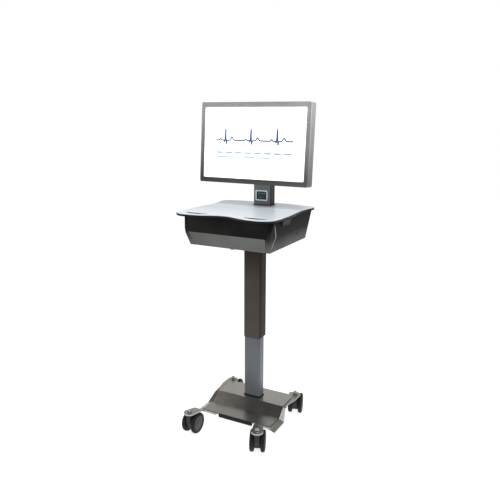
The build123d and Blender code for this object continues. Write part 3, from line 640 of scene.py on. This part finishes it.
# The sides of the mast and of the sleeve get darker copies of their finish: painted shade
edged_copy("mast_post", "mast_steel", 0.3 * MM, second=("mast_flank_painted_shade", on_flank))
edged_copy("outer_sleeve", "sleeve_coat", 0.3 * MM, second=("sleeve_flank_painted_shade", on_flank))
edged_copy("status_bezel", "status_frame", 0.5 * MM)
paint("lcd_ground", "status_display")
paint("zinc_steel", "tilt_bracket", "tilt_yoke")
paint("fastener", "tilt_pin")
edged_copy("display_bezel", "bezel_steel", 0.7 * MM)
paint("casing_metal", "display_shell")
edged_copy("display_panel", "panel_lit", 0.2 * MM, second=("black_plastic", off_screen))
paint("screen_glass", "screen_glass")

# Status display: a charge bar of five cells and two short rows, seen behind the window
UPRIGHT = Matrix.Rotation(math.radians(90), 4, "X")
CELLS, CELL_PITCH, CELL_W, CELL_H, CELL_Z = 5, 8, 5.6, 9, 9
ROWS, ROW_START, ROW_Z, ROW_PITCH, ROW_H = ((12, 12, 8), (8, 14, 10)), -19, -3, 8, 4.2
BLOCK_TRIM, BLOCK_GAP = 2.4, 1.5
lcd_low, lcd_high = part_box("status_display")
lcd_centre = (lcd_low + lcd_high) / 2
lcd_parts = []


def lcd_bar(x, z, width, height):
    verts, faces = pad(width * MM, height * MM, 0.5 * MM, 0.4 * MM, 0.15 * MM)
    place = Vector((lcd_centre.x + x * MM, lcd_low.y + 0.1 * MM, lcd_centre.z + z * MM))
    lcd_parts.append((moved(verts, Matrix.Translation(place) @ UPRIGHT), faces))


for cell in range(CELLS):
    lcd_bar(CELL_PITCH * (cell - (CELLS - 1) / 2), CELL_Z, CELL_W, CELL_H)
for row, widths in enumerate(ROWS):
    start = ROW_START
    for width in widths:
        lcd_bar(start + width / 2, ROW_Z - ROW_PITCH * row, width - BLOCK_TRIM, ROW_H)
        start += width + BLOCK_GAP
verts, faces = joined(lcd_parts)
new_piece("status_segments", verts, faces, "lcd_segment", "head")

# The mast's seal on the worktop. The mast's front is where the status display's frame ends.
MAST_W, MAST_D, MAST_CORNER = 90 * MM, 49.5 * MM, 4 * MM
SEAL = [(0.1, 0.0), (4.5, 0.0), (4.5, 0.8), (3.6, 1.6), (1.2, 2.6), (0.1, 2.8)]
worktop_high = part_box("worktop_laminate")[1]
mast_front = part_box("status_bezel")[1].y
verts, faces = rect_ring(MAST_W, MAST_D, MAST_CORNER, in_mm(SEAL))
seal_place = Matrix.Translation(Vector((0, mast_front + MAST_D / 2, worktop_high.z + 0.05 * MM)))
new_piece("mast_seal", moved(verts, seal_place), faces, "seal_rubber", "head")

# --- Small pieces of the base and the drawer --------------------------------------------------
# Dark beads between the cover and the side flanges of the frame, following the fold, as painted shadow in the
# gap under the cover's edge: (y, z) of the line
SHADOW_BEAD_R, SHADOW_BEAD_OUT = 1.3, 0.9
cover_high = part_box("base_cover")[1]
SHADOW_BEAD_LINE = ((80.0, 111.3), (-20.0, 111.3), (-47.0, 111.0), (-51.0, 109.0), (-95.5, 73.4), (-99.5, 71.4),
             (-130.0, 71.3), (-186.0, 71.3))
for side, label in ((1, "right"), (-1, "left")):
    shadow_bead_x = side * (cover_high.x / MM + SHADOW_BEAD_OUT)
    verts, faces = swept_tube([at(shadow_bead_x, y, z) for y, z in SHADOW_BEAD_LINE], SHADOW_BEAD_R * MM, 10)
    new_piece("cover_painted_shadow_" + label, verts, faces, "seal_rubber", "base")

# A black rubber strip over the front lip of the base, as painted shade on the lip's shadowed front: (y, z) of
# its section, and (share of its half length, size)
STRIP_X, STRIP_Y, STRIP_TOP, STRIP_MID = 91.0, -192.8, 71.0, 8
SECTION = [(0.0, 1.2), (-1.4, 1.6), (-3.4, 0.2), (-4.4, -3.0), (-4.6, -8.0), (-4.0, -13.0), (-2.6, -16.0),
           (0.0, -16.6)]
TAPER = [(-1.0, 0.55), (-0.985, 0.85), (-0.965, 1.0), (0.965, 1.0), (0.985, 0.85), (1.0, 0.55)]
loops = [[at(STRIP_X * share, STRIP_Y + y * size, STRIP_TOP - STRIP_MID + (z + STRIP_MID) * size)
          for y, z in SECTION] for share, size in TAPER]
verts, faces = loft(loops)
new_piece("front_lip_painted_shade", verts, faces, "seal_rubber", "base")

# Ribbed mat in the drawer
MAT_GAP, MAT_LIFT, RIB_PITCH, RIB_LIFT = 6 * MM, 2.1 * MM, 9 * MM, 1.1 * MM
tray_low, tray_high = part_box("drawer_tray")
mat_width = tray_high.x - tray_low.x - 2 * MAT_GAP
mat_depth = tray_high.y - tray_low.y - 2 * MAT_GAP
mat_centre = Vector((0, (tray_low.y + tray_high.y) / 2, tray_low.z + MAT_LIFT))
verts, faces = pad(mat_width, mat_depth, 1.2 * MM, 5 * MM, 0.4 * MM)
mat_parts = [(moved(verts, Matrix.Translation(mat_centre)), faces)]
for i in range(int(mat_depth / RIB_PITCH) - 1):
    verts, faces = pad(mat_width - 8 * MM, 2.4 * MM, 1.0 * MM, 1.0 * MM, 0.4 * MM)
    offset = Vector((0, (i + 1) * RIB_PITCH - mat_depth / 2, RIB_LIFT))
    mat_parts.append((moved(verts, Matrix.Translation(mat_centre + offset)), faces))
verts, faces = joined(mat_parts)
new_piece("drawer_mat", verts, faces, "seal_rubber", "drawer")

# --- Screws and picture of the display --------------------------------------------------------
# The display's own frame: x across, y from the front face to the back, z up from the lower edge
DISPLAY_TILT = math.radians(4.5)
display = Matrix.Translation(at(0, -38.0, 1176.5)) @ Matrix.Rotation(-DISPLAY_TILT, 4, "X")
DISPLAY_MIDDLE = 184.8
PICTURE_Y = 4.9


def on_display(x, y, z):
    """A place in the display's frame, in millimetres, with z from the display's middle."""
    return display @ Matrix.Translation(Vector((x, y, DISPLAY_MIDDLE + z)) * MM)


# Screws that hold the tilt yoke's plate to the casing
YOKE_SCREW, YOKE_Y = 45, 64.1
SCREW_HEAD = [(1.2, 0.4), (1.5, 1.9), (3.0, 2.0), (3.7, 1.5), (4.0, 0.6), (4.0, 0)]
head_verts, head_faces = lathe(in_mm(SCREW_HEAD), 32)
screw_parts = []
for x in (-YOKE_SCREW, YOKE_SCREW):
    for z in (-YOKE_SCREW, YOKE_SCREW):
        place = on_display(x, YOKE_Y, z) @ Matrix.Rotation(math.radians(-90), 4, "X")
        screw_parts.append((moved(head_verts, place), head_faces))
verts, faces = joined(screw_parts)
new_piece("yoke_screws", verts, faces, "fastener", "display")


# The picture: a pulse trace over two rows of pale bars
BEAT = ((0.20, 0.035, 0.12), (0.36, 0.010, -0.14), (0.40, 0.012, 1.0), (0.44, 0.012, -0.30),
        (0.66, 0.055, 0.22))        # (place in the beat, width, height) of each bump


def pulse(t):
    """Height of a heart trace at a share t of one beat."""
    return sum(height * math.exp(-((t - middle) / width) ** 2) for middle, width, height in BEAT)


def flat_bar(x, z, width, height):
    """A thin bar with rounded ends on the picture."""
    verts, faces = pad(width * MM, height * MM, 0.25 * MM, 0.45 * height * MM, 0.1 * MM)
    return moved(verts, on_display(x, PICTURE_Y, z) @ UPRIGHT), faces


TRACE_X, TRACE_Z, TRACE_H, BEATS, TRACE_STEPS = 200.0, 12.0, 62.0, 3, 480
TRACE_R, TRACE_LIFT, TRACE_FLAT = 3.0 * MM, 0.3, 0.06       # TRACE_FLAT is what is left of its thickness
path = []
for i in range(TRACE_STEPS + 1):
    share = i / TRACE_STEPS
    x, z = TRACE_X * (2 * share - 1), TRACE_Z + TRACE_H * pulse(share * BEATS % 1.0)
    path.append(display @ (Vector((x, PICTURE_Y - TRACE_LIFT, DISPLAY_MIDDLE + z)) * MM))
verts, faces = swept_tube(path, TRACE_R, 8)
flat = Matrix.Diagonal((1, TRACE_FLAT, 1, 1))
picture_plane = Vector((0, PICTURE_Y * MM, 0))
verts = [display @ (flat @ (display.inverted() @ v - picture_plane) + picture_plane) for v in verts]
new_piece("picture_trace", verts, faces, "trace_blue", "display")
BAR_ROWS = ((8, -176, 50, -44, 38, 8), (4, -164, 74, -64, 62, 6))   # count, first x, pitch, z, width, height
bars = [flat_bar(first + pitch * i, z, width, height)
        for count, first, pitch, z, width, height in BAR_ROWS for i in range(count)]
verts, faces = joined(bars)
new_piece("picture_rows", verts, faces, "trace_pale", "display")

# --- Floor, light and camera ------------------------------------------------------------------
# The floor gives off light, so that it shows white and carries almost no shadow
FLOOR_R, FLOOR_GREY, FLOOR_GLOW = 60.0, 0.55, 0.85
bm = bmesh.new()
bmesh.ops.create_circle(bm, cap_ends=True, radius=FLOOR_R, segments=64)
floor_mesh = bpy.data.meshes.new("floor")
bm.to_mesh(floor_mesh)
bm.free()
floor = bpy.data.objects.new("floor", floor_mesh)
SCENE.collection.objects.link(floor)
pale = bpy.data.materials.new("floor_pale")
pale.use_nodes = True
pale_shader = pale.node_tree.nodes["Principled BSDF"]
pale_shader.inputs["Base Color"].default_value = (FLOOR_GREY, FLOOR_GREY, FLOOR_GREY, 1)
pale_shader.inputs["Roughness"].default_value = 0.9
pale_shader.inputs["Specular IOR Level"].default_value = 0.1
pale_shader.inputs["Emission Color"].default_value = (1, 1, 1, 1)
pale_shader.inputs["Emission Strength"].default_value = FLOOR_GLOW
floor_mesh.materials.append(pale)

# The room is bright low down and behind the object, darker above and in front. The camera sees it white.
BRIGHT_BELOW, DARK_ABOVE = 0.28, 0.75       # heights of the direction where the ramp ends
CEILING = (0.16, 0.16, 0.17, 1)
FRONT_TO_BACK, FRONT_SHARE = (-0.6, 0.4), (0.42, 1.0)
world = bpy.data.worlds.new("studio")
SCENE.world = world
world.use_nodes = True
tree = world.node_tree
background = tree.nodes["Background"]
direction = tree.nodes.new("ShaderNodeTexCoord").outputs["Generated"]
split = tree.nodes.new("ShaderNodeSeparateXYZ")
link(tree, direction, split.inputs[0])
ramp = tree.nodes.new("ShaderNodeValToRGB")
link(tree, split.outputs[2], ramp.inputs[0])
ramp.color_ramp.elements[0].position = BRIGHT_BELOW
ramp.color_ramp.elements[0].color = (1, 1, 1, 1)
ramp.color_ramp.elements[1].position = DARK_ABOVE
ramp.color_ramp.elements[1].color = CEILING
facing_back = remap(tree, split.outputs[1], FRONT_TO_BACK, FRONT_SHARE)
room = colour_mix(tree, 1.0, ramp.outputs[0], facing_back, "MULTIPLY")
seen = tree.nodes.new("ShaderNodeLightPath").outputs["Is Camera Ray"]
link(tree, colour_mix(tree, seen, room, WHITE), background.inputs[0])
background.inputs[1].default_value = 1.0


def area_light(name, place, target, size, power):
    data = bpy.data.lights.new(name, "AREA")
    data.shape = "RECTANGLE"
    data.size, data.size_y = size
    data.energy = power
    lamp = bpy.data.objects.new(name, data)
    lamp.location = place
    lamp.rotation_mode = "QUATERNION"
    lamp.rotation_quaternion = (Vector(target) - Vector(place)).to_track_quat("-Z", "Y")
    SCENE.collection.objects.link(lamp)


area_light("key", (1.3, -1.5, 4.0), (0, 0, 0.6), (1.6, 1.6), 80)
area_light("fill", (-3.0, -2.2, 2.0), (0, 0, 0.8), (2.2, 2.2), 25)
area_light("top", (-0.4, 1.6, 4.4), (0, 0, 0.8), (1.6, 1.2), 25)

SENSOR, LENS = 36.0, 42.44
CAMERA_PLACE = (1277.1, -2426.2, 1487.2)        # about the column's axis
camera_data = bpy.data.cameras.new("camera")
camera_data.sensor_width = SENSOR
camera_data.lens = LENS
camera = bpy.data.objects.new("camera", camera_data)
YAW, PITCH, ROLL = (math.radians(a) for a in (28.22, 12.86, 0.16))
ahead = Vector((-math.sin(YAW) * math.cos(PITCH), math.cos(YAW) * math.cos(PITCH), -math.sin(PITCH)))
right = Vector((math.cos(YAW), math.sin(YAW), 0))
up = right.cross(ahead)
turned_right = right * math.cos(ROLL) + up * math.sin(ROLL)
turned_up = up * math.cos(ROLL) - right * math.sin(ROLL)
turn = Matrix((turned_right, turned_up, -ahead)).transposed().to_4x4()
camera.matrix_world = Matrix.Translation(at(*CAMERA_PLACE)) @ turn
SCENE.collection.objects.link(camera)
SCENE.camera = camera
SCENE.view_settings.view_transform = "Standard"
